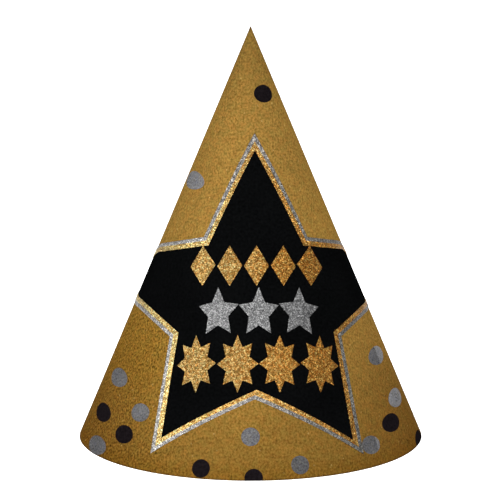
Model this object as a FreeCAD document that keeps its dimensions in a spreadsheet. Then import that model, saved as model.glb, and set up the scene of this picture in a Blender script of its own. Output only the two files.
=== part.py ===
import FreeCAD, Part
import math
import os
import Sketcher
from FreeCAD import Base

# New year party hat: a sheet of board rolled into a cone and glued along a lapped
# seam at the back, faced with gold paper, with a glitter-edged black star wrapped
# round the front and confetti dots scattered over the rest.
#
# Millimetres. +Z is up the axis, the origin is the centre of the rim, the front of
# the hat faces -Y, +X is to the right of someone looking at the front.
# phi is the angle round the axis from the front, positive towards +X.
# slant is the distance down the cone's face from its apex.
# flat x, y are places on the unrolled sheet: apex at 0, 0, y downwards negative.

doc = FreeCAD.newDocument("new_year_party_hat")

# ---------------------------------------------------------------- sizes
sheet = doc.addObject("Spreadsheet::Sheet", "sizes")

sizes = [
    # the cone, measured on the outside of the gold facing
    ("rim_radius", 73.5),
    ("cone_height", 177.27),
    ("board_thick", 0.40),
    ("facing_thick", 0.12),
    ("glue_thick", 0.10),
    ("top_inner_radius", 0.60),     # inside radius where the roll closes up to a solid tip
    ("tip_radius", 0.10),           # the point is blunt by this much
    # the lapped seam, as angles round the axis from the front
    ("inner_end_phi", 175.3),       # the sheet's inner edge, under the lap
    ("outer_end_phi", 184.7),       # the sheet's outer edge, past the inner one
    ("joggle_low_phi", 168.8),      # where the sheet starts to climb over its inner edge
    ("joggle_high_phi", 174.8),     # where it has climbed
    ("glue_low_phi", 175.9),
    ("glue_high_phi", 184.1),
    ("glue_low_z", 2.0),
    ("glue_high_z", 160.0),
    ("facing_low_z", 0.3),          # the facing stops this far short of the board's cut edge
    # punched holes for the chin elastic, one at each side
    ("strap_hole_radius", 1.5),
    ("strap_hole_slant", 180.0),
    # printed and glitter layers, on the facing
    ("ink_thick", 0.10),
    ("glitter_thick", 0.20),
    ("motif_thick", 0.15),          # the ornaments, on top of the black film
    # the confetti dots
    ("dot_radius", 3.82),
]

# the star's outline on the unrolled sheet, clockwise from its top tip. The edges of its two
# side arms bow inwards, so each has four more places between its ends.
star_places = [
    ("top_tip", 1.59, -46.17), ("right_crotch", 25.64, -88.63),
    ("right_arm_top_a", 32.71, -88.09), ("right_arm_top_b", 39.76, -87.11),
    ("right_arm_top_c", 46.49, -85.69), ("right_arm_top_d", 52.00, -84.15),
    ("right_tip", 122.50, -76.50),
    ("right_arm_low_d", 68.54, -111.78), ("right_arm_low_c", 62.34, -114.99),
    ("right_arm_low_b", 55.09, -119.34), ("right_arm_low_a", 47.86, -124.34),
    ("low_right_crotch", 41.54, -129.24), ("right_foot", 50.54, -178.50),
    ("bottom_crotch", 1.80, -158.10), ("left_foot", -43.72, -178.74),
    ("low_left_crotch", -36.02, -130.07),
    ("left_arm_low_a", -43.49, -124.10), ("left_arm_low_b", -51.65, -118.30),
    ("left_arm_low_c", -59.91, -113.25), ("left_arm_low_d", -67.31, -109.41),
    ("left_tip", -120.00, -75.50),
    ("left_arm_top_d", -50.45, -85.90), ("left_arm_top_c", -44.32, -87.36),
    ("left_arm_top_b", -36.45, -88.59), ("left_arm_top_a", -28.05, -89.22),
    ("left_crotch", -20.32, -89.24),
]
for label, x, y in star_places:
    sizes += [("star_%s_x" % label, x), ("star_%s_y" % label, y)]

# the star's ten edges, clockwise from the top tip: how many straight runs each has, the width of
# its silver line, and the width of the silver and the gold line together at its start and end
star_edges = [
    ("tip_right", 1, 1.60, 3.35, 3.95), ("arm_right_top", 5, 1.60, 3.70, 3.70),
    ("arm_right_low", 5, 1.60, 3.60, 3.60), ("leg_right_out", 1, 1.85, 3.95, 4.35),
    ("leg_right_in", 1, 1.55, 2.80, 3.90), ("leg_left_in", 1, 1.55, 3.25, 3.30),
    ("leg_left_out", 1, 1.70, 4.00, 4.10), ("arm_left_low", 5, 1.60, 3.70, 3.70),
    ("arm_left_top", 5, 1.60, 3.75, 3.75), ("tip_left", 1, 1.65, 3.65, 3.45),
]
for label, runs, silver, start, end in star_edges:
    sizes += [("silver_width_%s" % label, silver), ("both_widths_%s_start" % label, start),
              ("both_widths_%s_end" % label, end)]

# confetti dots: phi in degrees, slant in millimetres, and how much wider than tall each is;
# towards the sides they are printed wider, so that they look round from the front
black_dots = [
    (29.1, 29.49, 1.14), (-69.0, 174.52, 2.2), (-50.4, 179.16, 1.50), (-16.49, 187.50, 1.0),
    (1.01, 190.65, 1.0), (60.8, 176.81, 1.94), (80.7, 190.99, 2.2),
    (-112.0, 178.0, 1.6), (-147.0, 166.0, 1.2), (163.0, 176.0, 1.0), (127.0, 187.0, 1.4),
    (108.0, 160.0, 1.8), (-125.0, 88.0, 1.4), (160.0, 118.0, 1.0), (150.0, 66.0, 1.0),
]
silver_dots = [
    (-65.2, 69.14, 2.2), (-66.8, 158.11, 2.2), (-45.4, 168.56, 1.37), (-64.2, 187.90, 2.15),
    (-0.02, 173.67, 1.0), (16.61, 186.07, 1.0), (45.8, 182.60, 1.38), (71.9, 168.66, 2.2),
    (69.2, 148.77, 2.2),
    (-103.0, 163.0, 1.8), (-130.0, 184.0, 1.3), (-164.0, 186.0, 1.0), (146.0, 168.0, 1.1),
    (115.0, 175.0, 1.6), (120.0, 90.0, 1.5), (-158.0, 114.0, 1.0), (-148.0, 60.0, 1.1),
]
for label, dots in (("black_dot", black_dots), ("silver_dot", silver_dots)):
    for i, (phi, slant, stretch) in enumerate(dots):
        letter = "abcdefghijklmnopqrst"[i]
        sizes += [("%s_%s_phi" % (label, letter), phi), ("%s_%s_slant" % (label, letter), slant),
                  ("%s_%s_stretch" % (label, letter), stretch)]

# ornaments on the star: centre on the unrolled sheet, half width, half height, lean
upper_motifs = [
    (-20.61, -101.43, 5.85, 8.50, 0.0), (-8.71, -102.18, 5.25, 8.50, 0.0),
    (2.46, -102.32, 5.15, 8.50, 0.0), (13.82, -101.93, 5.45, 8.50, 0.0),
    (26.46, -100.81, 6.45, 8.60, 0.0),
]
middle_motifs = [
    (-13.53, -120.71, 8.55, 9.60, 0.0), (3.40, -120.99, 8.25, 9.60, 0.0),
    (20.79, -120.29, 9.05, 9.70, 0.0),
]
lower_motifs = [
    (-23.10, -142.80, 8.75, 12.00, 0.0), (-5.35, -143.35, 8.55, 12.00, 0.0),
    (12.10, -143.20, 8.65, 12.00, 0.0), (30.00, -142.35, 8.95, 12.00, 0.0),
]
for label, motifs in (("upper", upper_motifs), ("middle", middle_motifs), ("lower", lower_motifs)):
    for i, motif in enumerate(motifs):
        for field, value in zip(("x", "y", "half_width", "half_height", "lean"), motif):
            sizes.append(("%s_motif_%s_%s" % (label, "abcde"[i], field), value))

for row, (alias, value) in enumerate(sizes, start=1):
    sheet.set("A%d" % row, "'" + alias)
    sheet.set("B%d" % row, repr(float(value)))
    sheet.setAlias("B%d" % row, alias)
doc.recompute()


def size(alias):
    return float(sheet.get(alias))


def value(expression):
    answer = sheet.evalExpression(expression.replace("sizes.", ""))
    return float(getattr(answer, "Value", answer))


# ---------------------------------------------------------------- formulas on the sheet
SLANT = "sqrt(sizes.rim_radius^2 + sizes.cone_height^2)"
SIN = "(sizes.rim_radius / %s)" % SLANT
COS = "(sizes.cone_height / %s)" % SLANT

# distance out from the cone's own face, along its normal
BOARD_INNER = "(0 - sizes.facing_thick - sizes.board_thick)"
BOARD_OUTER = "(0 - sizes.facing_thick)"
FACE = "0"
LAP_RISE = "(sizes.board_thick + sizes.facing_thick + sizes.glue_thick)"
# height at which the roll closes to a solid tip
TOP_Z = ("(sizes.cone_height * (1 - (sizes.top_inner_radius + (sizes.board_thick + sizes.facing_thick) / %s)"
         " / sizes.rim_radius))" % COS)


def radius_at(z, depth):
    """Radius of the face that lies `depth` out from the cone, at height z."""
    return "(sizes.rim_radius * (1 - (%s) / sizes.cone_height) + (%s) / %s)" % (z, depth, COS)


# ---------------------------------------------------------------- helpers
def plane(body, role):
    for feature in body.Origin.OriginFeatures:
        if feature.Role == role:
            return feature


def sketch_on(body, name, role="XY_Plane", height=None):
    sketch = body.newObject("Sketcher::SketchObject", name)
    sketch.AttachmentSupport = (plane(body, role), [""])
    sketch.MapMode = "FlatFace"
    if height is not None:
        sketch.setExpression("AttachmentOffset.Base.z", height)
    doc.recompute()
    return sketch


def bind(sketch, constraint, expression):
    """Add a dimensional constraint whose value follows the sheet."""
    kind, args = constraint[0], constraint[1:]
    index = sketch.addConstraint(Sketcher.Constraint(kind, *args, value(expression)))
    sketch.setExpression("Constraints[%d]" % index, expression)


def arc_outline(sketch, corners, arcs):
    """A closed outline of arcs about the axis and straight lines.

    corners: (radius, phi) as expressions, in order round the outline.
    arcs: indices i where corner i to i + 1 is an arc; +1 runs with phi, -1 against it.
    """
    count = len(corners)
    points = []
    for radius, phi in corners:
        r, angle = value(radius), math.radians(value("(%s)" % phi) - 90.0)
        points.append((r, angle, Base.Vector(r * math.cos(angle), r * math.sin(angle), 0)))
    start_end = []
    for i in range(count):
        j = (i + 1) % count
        if i in arcs:
            low, high = (i, j) if arcs[i] > 0 else (j, i)
            circle = Part.Circle(Base.Vector(0, 0, 0), Base.Vector(0, 0, 1), points[i][0])
            geo = sketch.addGeometry(Part.ArcOfCircle(circle, points[low][1], points[high][1]))
            start_end.append((geo, 1, 2) if arcs[i] > 0 else (geo, 2, 1))
        else:
            geo = sketch.addGeometry(Part.LineSegment(points[i][2], points[j][2]))
            start_end.append((geo, 1, 2))
    for i in range(count):
        j = (i + 1) % count
        sketch.addConstraint(Sketcher.Constraint("Coincident", start_end[i][0], start_end[i][2],
                                                 start_end[j][0], start_end[j][1]))
    for i in range(count):
        geo, first, last = start_end[i]
        j = (i + 1) % count
        if i in arcs:
            sketch.addConstraint(Sketcher.Constraint("Coincident", geo, 3, -1, 1))
            bind(sketch, ("Radius", geo), corners[i][0])
            for pos, corner in ((first, corners[i]), (last, corners[j])):
                bind(sketch, ("DistanceX", geo, pos), "(%s) * cos(%s - 90)" % corner)


def rolled_outline(sketch, z, inner, outer):
    """Plan section, at height z, of a sheet rolled once round with its ends lapped."""
    low_in, low_out = radius_at(z, inner), radius_at(z, outer)
    high_in = radius_at(z, "%s + %s" % (inner, LAP_RISE))
    high_out = radius_at(z, "%s + %s" % (outer, LAP_RISE))
    start = "(sizes.inner_end_phi - 360)"
    arc_outline(sketch, [
        (low_in, start),
        (low_in, "sizes.joggle_low_phi"),
        (high_in, "sizes.joggle_high_phi"),
        (high_in, "sizes.outer_end_phi"),
        (high_out, "sizes.outer_end_phi"),
        (high_out, "sizes.joggle_high_phi"),
        (low_out, "sizes.joggle_low_phi"),
        (low_out, start),
    ], {0: 1, 2: 1, 4: -1, 6: -1})


def rolled_cone(name, inner, outer, low_z):
    """A lapped conical sheet between two depths, ruled from low_z up to the tip."""
    body = doc.addObject("PartDesign::Body", name)
    body.Label = name
    rim = sketch_on(body, name + "_rim_section", height=low_z)
    rolled_outline(rim, low_z, inner, outer)
    top = sketch_on(body, name + "_top_section", height=TOP_Z)
    rolled_outline(top, TOP_Z, inner, outer)
    doc.recompute()
    loft = body.newObject("PartDesign::AdditiveLoft", name + "_roll")
    loft.Profile = rim
    loft.Sections = [top]
    loft.Ruled = True
    rim.Visibility = False
    doc.recompute()
    return body


def closed_tip(body, corners):
    """Turn the roll's closed tip: corners are (radius, height) expressions on the XZ plane."""
    sketch = sketch_on(body, body.Name + "_tip_section", "XZ_Plane")
    count = len(corners)
    points = [Base.Vector(value(r), value(z), 0) for r, z in corners]
    for i in range(count):
        sketch.addGeometry(Part.LineSegment(points[i], points[(i + 1) % count]))
    for i in range(count):
        sketch.addConstraint(Sketcher.Constraint("Coincident", i, 2, (i + 1) % count, 1))
    for i, (r, z) in enumerate(corners):
        if r == "0":
            sketch.addConstraint(Sketcher.Constraint("PointOnObject", i, 1, -2))
        else:
            bind(sketch, ("DistanceX", i, 1), r)
        bind(sketch, ("DistanceY", i, 1), z)
    doc.recompute()
    turn = body.newObject("PartDesign::Revolution", body.Name + "_tip")
    turn.Profile = sketch
    turn.ReferenceAxis = (sketch, ["V_Axis"])
    turn.Angle = 360.0
    doc.recompute()
    return turn


def strap_holes(body):
    """Punch the two elastic holes square to the sheet, at the right and left sides."""
    sketch = body.newObject("Sketcher::SketchObject", body.Name + "_strap_hole_section")
    sketch.AttachmentSupport = (plane(body, "XY_Plane"), [""])
    sketch.MapMode = "FlatFace"
    sketch.AttachmentOffset = FreeCAD.Placement(Base.Vector(0, 0, 0), FreeCAD.Rotation(Base.Vector(0, 1, 0), 60))
    # 5 mm out from the face, looking back down the normal
    sketch.setExpression("AttachmentOffset.Base.x",
                         "sizes.strap_hole_slant * %s + 5 * %s" % (SIN, COS))
    sketch.setExpression("AttachmentOffset.Base.z",
                         "sizes.cone_height - sizes.strap_hole_slant * %s + 5 * %s" % (COS, SIN))
    sketch.setExpression("AttachmentOffset.Rotation.Angle",
                         "90 deg - atan(sizes.rim_radius / sizes.cone_height)")
    doc.recompute()
    sketch.addGeometry(Part.Circle(Base.Vector(0, 0, 0), Base.Vector(0, 0, 1), size("strap_hole_radius")))
    sketch.addConstraint(Sketcher.Constraint("Coincident", 0, 3, -1, 1))
    bind(sketch, ("Radius", 0), "sizes.strap_hole_radius")
    doc.recompute()
    before = body.Shape.Volume
    pocket = body.newObject("PartDesign::Pocket", body.Name + "_strap_hole")
    pocket.Profile = sketch
    pocket.Length = 10.0
    sketch.Visibility = False
    doc.recompute()
    if body.Shape.Volume >= before - 0.3:
        raise RuntimeError(body.Label + ": the strap hole cuts nothing")
    mirror = body.newObject("PartDesign::Mirrored", body.Name + "_strap_hole_left")
    mirror.Originals = [pocket]
    mirror.MirrorPlane = (plane(body, "YZ_Plane"), [""])
    body.Tip = mirror
    doc.recompute()


# ---------------------------------------------------------------- the board
cone_board = rolled_cone("cone_board", BOARD_INNER, BOARD_OUTER, "0")
board_top = radius_at(TOP_Z, BOARD_OUTER)
board_peak = ("(sizes.cone_height * (1 - (sizes.tip_radius + sizes.facing_thick / %s) / sizes.rim_radius))" % COS)
closed_tip(cone_board, [("0", TOP_Z), (board_top, TOP_Z), ("sizes.tip_radius", board_peak), ("0", board_peak)])
strap_holes(cone_board)

# ---------------------------------------------------------------- the gold facing
gold_facing = rolled_cone("gold_facing", BOARD_OUTER, FACE, "sizes.facing_low_z")
facing_top = radius_at(TOP_Z, FACE)
facing_peak = "(sizes.cone_height * (1 - sizes.tip_radius / sizes.rim_radius))"
closed_tip(gold_facing, [(board_top, TOP_Z), (facing_top, TOP_Z), ("sizes.tip_radius", facing_peak),
                         ("0", facing_peak), ("0", board_peak), ("sizes.tip_radius", board_peak)])
strap_holes(gold_facing)

# ---------------------------------------------------------------- the glue strip in the lap
glue = doc.addObject("PartDesign::Body", "seam_glue_strip")
glue.Label = "seam_glue_strip"
sections = []
for label, z in (("low", "sizes.glue_low_z"), ("high", "sizes.glue_high_z")):
    section = sketch_on(glue, "seam_glue_strip_%s_section" % label, height=z)
    inside, outside = radius_at(z, FACE), radius_at(z, "sizes.glue_thick")
    arc_outline(section, [(inside, "sizes.glue_low_phi"), (inside, "sizes.glue_high_phi"),
                          (outside, "sizes.glue_high_phi"), (outside, "sizes.glue_low_phi")], {0: 1, 2: -1})
    sections.append(section)
doc.recompute()
strip = glue.newObject("PartDesign::AdditiveLoft", "seam_glue_strip_run")
strip.Profile = sections[0]
strip.Sections = [sections[1]]
strip.Ruled = True
sections[0].Visibility = False
doc.recompute()

# ---------------------------------------------------------------- films wrapped on the cone
# A film is an outline drawn on the unrolled sheet, wrapped on to the cone and given
# a thickness along the cone's normal. Neither a pad nor a boolean draws a straight
# cut line of the flat sheet on a cone, so these solids are built face by face.
rim_radius, cone_height = size("rim_radius"), size("cone_height")
half_angle = math.atan2(rim_radius, cone_height)
slant_length = math.hypot(rim_radius, cone_height)


def cone_face(depth):
    """The endless conical face that lies `depth` out from the facing."""
    surface = Part.Cone()
    surface.SemiAngle = half_angle
    surface.Radius = rim_radius + depth * math.cos(half_angle)
    turned = FreeCAD.Placement(Base.Vector(0, 0, depth * math.sin(half_angle)),
                               FreeCAD.Rotation(Base.Vector(1, 0, 0), 180))
    surface.transform(turned.toMatrix())
    return surface


def wrapped(x, y):
    """Place on the unrolled sheet to the face's own two parameters."""
    turn = math.atan2(x, -y) / math.sin(half_angle)
    return Base.Vector2d(math.pi / 2 - turn, math.hypot(x, y) - slant_length)


def wrapped_edges(surface, outline):
    edges = []
    for i, (x0, y0) in enumerate(outline):
        x1, y1 = outline[(i + 1) % len(outline)]
        steps = max(6, int(math.hypot(x1 - x0, y1 - y0) / 4))
        curve = Part.Geom2d.BSplineCurve2d()
        curve.interpolate([wrapped(x0 + (x1 - x0) * k / steps, y0 + (y1 - y0) * k / steps)
                           for k in range(steps + 1)])
        edges.append(curve.toShape(surface))
    return edges


def film(outline, low, high, window=None):
    """Closed solid between two depths, inside `outline` and outside `window`."""
    faces = []
    rings = {}
    for depth in (low, high):
        surface = cone_face(depth)
        rings[depth] = [wrapped_edges(surface, ring) for ring in ([outline, window] if window else [outline])]
        patch = Part.Face(surface, Part.Wire(rings[depth][0]))
        if window:
            faces += patch.cut(Part.Face(surface, Part.Wire(rings[depth][1]))).Faces
        else:
            faces.append(patch)
    for lower, upper in zip(rings[low], rings[high]):
        faces += [Part.makeRuledSurface(a, b) for a, b in zip(lower, upper)]
    skin = Part.makeCompound(faces)
    skin.sewShape(1e-3)
    solid = Part.makeSolid(skin.Shells[0])
    if solid.Volume < 0:
        solid.reverse()
    return solid


def inset(outline, distances):
    """The same outline with every side moved inwards, by one distance at its start and another at
    its end, corners kept sharp."""
    count = len(outline)
    area = sum(outline[i][0] * outline[(i + 1) % count][1] - outline[(i + 1) % count][0] * outline[i][1]
               for i in range(count))
    side = 1.0 if area > 0 else -1.0
    lines = []
    for i in range(count):
        (x0, y0), (x1, y1) = outline[i], outline[(i + 1) % count]
        length = math.hypot(x1 - x0, y1 - y0)
        tx, ty = (x1 - x0) / length, (y1 - y0) / length
        start, end = distances[i]
        x0, y0, x1, y1 = x0 - ty * side * start, y0 + tx * side * start, x1 - ty * side * end, y1 + tx * side * end
        length = math.hypot(x1 - x0, y1 - y0)
        lines.append((x0, y0, (x1 - x0) / length, (y1 - y0) / length))
    corners = []
    for i in range(count):
        ax, ay, atx, aty = lines[i - 1]
        bx, by, btx, bty = lines[i]
        k = ((bx - ax) * bty - (by - ay) * btx) / (atx * bty - aty * btx)
        corners.append((ax + atx * k, ay + aty * k))
    return corners


def feature(name, shape):
    item = doc.addObject("Part::Feature", name)
    item.Label = name
    item.Shape = shape
    item.Placement = FreeCAD.Placement()
    return item


star_outline = [(size("star_%s_x" % label), size("star_%s_y" % label)) for label, x, y in star_places]
silver_widths, both_widths = [], []
for label, runs, silver, start, end in star_edges:
    silver_widths += [(size("silver_width_%s" % label),) * 2] * runs
    both_widths += [(size("both_widths_%s_start" % label), size("both_widths_%s_end" % label))] * runs
gold_outline = inset(star_outline, silver_widths)
black_outline = inset(star_outline, both_widths)
ink, glitter = size("ink_thick"), size("glitter_thick")

star_silver_border = feature("star_silver_border", film(star_outline, 0.0, glitter, gold_outline))
star_gold_border = feature("star_gold_border", film(gold_outline, 0.0, glitter, black_outline))
star_black_film = feature("star_black_film", film(black_outline, 0.0, ink))


def motif_outline(label, points):
    """Outline of one ornament: points are fractions of its half width and half height."""
    x, y = size(label + "_x"), size(label + "_y")
    wide, high = size(label + "_half_width"), size(label + "_half_height")
    lean = math.radians(size(label + "_lean"))
    placed = []
    for u, v in points:
        dx, dy = u * wide, v * high
        placed.append((x + dx * math.cos(lean) - dy * math.sin(lean), y + dx * math.sin(lean) + dy * math.cos(lean)))
    return placed


def spokes(count, ratio, fill=1.0):
    """A pointed star shape with `count` points, stretched to fill its box."""
    raw = []
    for i in range(2 * count):
        reach = 1.0 if i % 2 == 0 else ratio
        raw.append((reach * math.sin(math.pi * i / count), reach * math.cos(math.pi * i / count)))
    low_x, high_x = min(p[0] for p in raw), max(p[0] for p in raw)
    low_y, high_y = min(p[1] for p in raw), max(p[1] for p in raw)
    return [((2 * (px - low_x) / (high_x - low_x) - 1) * fill, (2 * (py - low_y) / (high_y - low_y) - 1) * fill)
            for px, py in raw]


lozenge = [(0, 1), (1, 0), (0, -1), (-1, 0)]
five_point = spokes(5, 0.50)
burst = spokes(8, 0.62)
lift = ink + size("motif_thick")


def motif_row(name, label, count, points):
    solids = [film(motif_outline("%s_motif_%s" % (label, "abcde"[i]), points), ink, lift) for i in range(count)]
    return feature(name, Part.makeCompound(solids))


upper_ornaments = motif_row("upper_ornaments_gold", "upper", len(upper_motifs), lozenge)
middle_ornaments = motif_row("middle_ornaments_silver", "middle", len(middle_motifs), five_point)
lower_ornaments = motif_row("lower_ornaments_gold", "lower", len(lower_motifs), burst)


# ---------------------------------------------------------------- confetti dots
# Dots: a round or oval punch square to the cone, kept only where it passes through a
# thin conical layer on the facing, from the rim up.
def layer_cone(name, depth):
    cone = doc.addObject("Part::Cone", name)
    cone.setExpression("Radius1", radius_at("sizes.facing_low_z", depth))
    cone.setExpression("Radius2", radius_at("sizes.facing_low_z + sizes.cone_height * 0.96", depth))
    cone.setExpression("Height", "sizes.cone_height * 0.96")
    cone.setExpression("Placement.Base.z", "sizes.facing_low_z")
    cone.Visibility = False
    return cone


def dot_group(name, label, count, clear_of):
    outer = layer_cone(name + "_outer_cone", "sizes.ink_thick")
    inner = layer_cone(name + "_inner_cone", FACE)
    layer = doc.addObject("Part::Cut", name + "_layer")
    layer.Base, layer.Tool = outer, inner
    layer.Visibility = False
    punches = []
    for i in range(count):
        letter = "abcdefghijklmnopqrst"[i]
        key = "sizes.%s_%s" % (label, letter)
        turn = size("%s_%s_phi" % (label, letter))
        ring = doc.addObject("Part::Ellipse", "%s_ring_%s" % (name, letter))
        ring.setExpression("MajorRadius", "sizes.dot_radius * %s_stretch" % key)
        ring.setExpression("MinorRadius", "sizes.dot_radius")
        # square to the face, the long way round the cone, 3 mm inside the face
        ring.Placement = FreeCAD.Placement(
            Base.Vector(0, 0, 0), FreeCAD.Rotation(Base.Vector(0, 0, 1), turn)
            * FreeCAD.Rotation(Base.Vector(1, 0, 0), 90 - math.degrees(half_angle)))
        reach = "(%s_slant * %s - 3 * %s)" % (key, SIN, COS)
        ring.setExpression("Placement.Base.x", "%s * sin(%s_phi)" % (reach, key))
        ring.setExpression("Placement.Base.y", "0 - %s * cos(%s_phi)" % (reach, key))
        ring.setExpression("Placement.Base.z", "sizes.cone_height - %s_slant * %s - 3 * %s" % (key, COS, SIN))
        ring.Visibility = False
        punch = doc.addObject("Part::Extrusion", "%s_punch_%s" % (name, letter))
        punch.Base = ring
        punch.DirMode = "Custom"
        punch.Dir = Base.Vector(math.cos(half_angle) * math.sin(math.radians(turn)),
                                -math.cos(half_angle) * math.cos(math.radians(turn)), math.sin(half_angle))
        punch.LengthFwd = 6.0
        punch.Solid = True
        punch.Visibility = False
        punches.append(punch)
    gang = doc.addObject("Part::Compound", name + "_punches")
    gang.Links = punches
    gang.Visibility = False
    discs = doc.addObject("Part::Common", name if clear_of is None else name + "_whole")
    discs.Base, discs.Tool = layer, gang
    doc.recompute()
    if clear_of is None:
        discs.Label = name
        return discs
    trimmed = doc.addObject("Part::Cut", name)
    trimmed.Base, trimmed.Tool = discs, clear_of
    trimmed.Label = name
    doc.recompute()
    return trimmed


black_confetti = dot_group("black_confetti_dots", "black_dot", len(black_dots), None)
silver_confetti = dot_group("silver_confetti_dots", "silver_dot", len(silver_dots), star_silver_border)

doc.recompute()

# ---------------------------------------------------------------- checks and export
subparts = [cone_board, gold_facing, glue, star_black_film, star_gold_border, star_silver_border,
            upper_ornaments, middle_ornaments, lower_ornaments, black_confetti, silver_confetti]
expected = {"cone_board": 1, "gold_facing": 1, "seam_glue_strip": 1, "star_black_film": 1,
            "star_gold_border": 1, "star_silver_border": 1, "upper_ornaments_gold": 5,
            "middle_ornaments_silver": 3, "lower_ornaments_gold": 4,
            "black_confetti_dots": len(black_dots), "silver_confetti_dots": len(silver_dots)}

for item in doc.Objects:
    if "Invalid" in item.State or "Error" in item.State:
        raise RuntimeError("%s did not compute: %s" % (item.Name, item.State))
for item in subparts:
    shape = item.Shape
    if shape.isNull() or not shape.isValid():
        raise RuntimeError(item.Label + " has no valid shape")
    if len(shape.Solids) != expected[item.Label]:
        raise RuntimeError("%s has %d solids" % (item.Label, len(shape.Solids)))

os.makedirs("parts", exist_ok=True)
for item in subparts:
    item.Shape.exportStep("parts/%s.step" % item.Label)
    box = item.Shape.BoundBox
    print("%-26s solids %2d  volume %9.2f  x %.2f..%.2f  y %.2f..%.2f  z %.2f..%.2f" % (
        item.Label, len(item.Shape.Solids), item.Shape.Volume,
        box.XMin, box.XMax, box.YMin, box.YMax, box.ZMin, box.ZMax))
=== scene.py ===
import math

import bpy
import numpy as np
from mathutils import Matrix, Vector
from mathutils.geometry import delaunay_2d_cdt


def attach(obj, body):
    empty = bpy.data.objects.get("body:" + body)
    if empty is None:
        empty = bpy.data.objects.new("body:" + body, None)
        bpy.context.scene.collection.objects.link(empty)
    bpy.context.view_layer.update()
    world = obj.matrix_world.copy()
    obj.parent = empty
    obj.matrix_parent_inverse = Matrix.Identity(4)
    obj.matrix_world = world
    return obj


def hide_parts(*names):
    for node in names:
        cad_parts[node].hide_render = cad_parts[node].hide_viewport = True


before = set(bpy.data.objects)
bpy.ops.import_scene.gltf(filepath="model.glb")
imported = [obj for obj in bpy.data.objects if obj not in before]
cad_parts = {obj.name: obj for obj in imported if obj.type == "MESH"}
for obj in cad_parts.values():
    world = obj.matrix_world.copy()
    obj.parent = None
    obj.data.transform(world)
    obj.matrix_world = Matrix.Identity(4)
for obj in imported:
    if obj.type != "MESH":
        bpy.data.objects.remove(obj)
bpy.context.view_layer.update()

MM = 0.001
rng = np.random.default_rng(20261231)

# ------------------------------------------------------------------ the cone, in mm
RIM, HEIGHT = 73.5, 177.27
SLANT = math.hypot(RIM, HEIGHT)
SIN, COS = RIM / SLANT, HEIGHT / SLANT
BOARD, FACING, GLUE = 0.40, 0.12, 0.10
RISE = BOARD + FACING + GLUE
INNER_END, OUTER_END = 175.3 - 360.0, 184.7
JOGGLE = (167.8, 174.9)
HOLES = [(-90.0, 180.0, 1.5), (90.0, 180.0, 1.5)]


def on_cone(phi, slant, off=0.0):
    """Points in metres from phi in degrees, slant and offset along the normal in mm."""
    a = np.radians(np.asarray(phi, float))
    s = np.asarray(slant, float)
    r = s * SIN + off * COS
    return np.stack([r * np.sin(a), -r * np.cos(a), HEIGHT - s * COS + off * SIN], -1) * MM


def unrolled(xy):
    """phi in degrees and slant from places on the flat sheet."""
    xy = np.asarray(xy, float)
    return np.degrees(np.arctan2(xy[..., 0], -xy[..., 1])) / SIN, np.hypot(xy[..., 0], xy[..., 1])


def flat(phi, slant):
    t = np.radians(np.asarray(phi, float)) * SIN
    return np.stack([slant * np.sin(t), -slant * np.cos(t)], -1)


def smooth(x):
    x = np.clip(x, 0.0, 1.0)
    return x * x * (3 - 2 * x)


# ------------------------------------------------------------------ mesh helpers
def make(name, verts, faces, uvs=None, material=None, smooth_all=True, sharp_deg=None,
         replaces=(), mats=None, mat_index=None):
    mesh = bpy.data.meshes.new(name)
    mesh.from_pydata([tuple(v) for v in np.asarray(verts, float)], [], [tuple(int(i) for i in f) for f in faces])
    if uvs is not None:
        layer = mesh.uv_layers.new(name="flat")
        loops = np.zeros(len(mesh.loops), np.int32)
        mesh.loops.foreach_get("vertex_index", loops)
        layer.data.foreach_set("uv", (np.asarray(uvs, float)[loops] / 100.0).astype(np.float32).ravel())
    mesh.polygons.foreach_set("use_smooth", np.full(len(mesh.polygons), bool(smooth_all)))
    if mat_index is not None:
        mesh.polygons.foreach_set("material_index", np.asarray(mat_index, np.int32))
    mesh.validate()
    mesh.update()
    if sharp_deg is not None:
        mesh.set_sharp_from_angle(angle=math.radians(sharp_deg))
    obj = bpy.data.objects.new(name, mesh)
    bpy.context.scene.collection.objects.link(obj)
    for m in (mats or ([material] if material else [])):
        mesh.materials.append(m)
    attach(obj, "root")
    if replaces:
        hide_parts(*replaces)
    return obj


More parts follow.
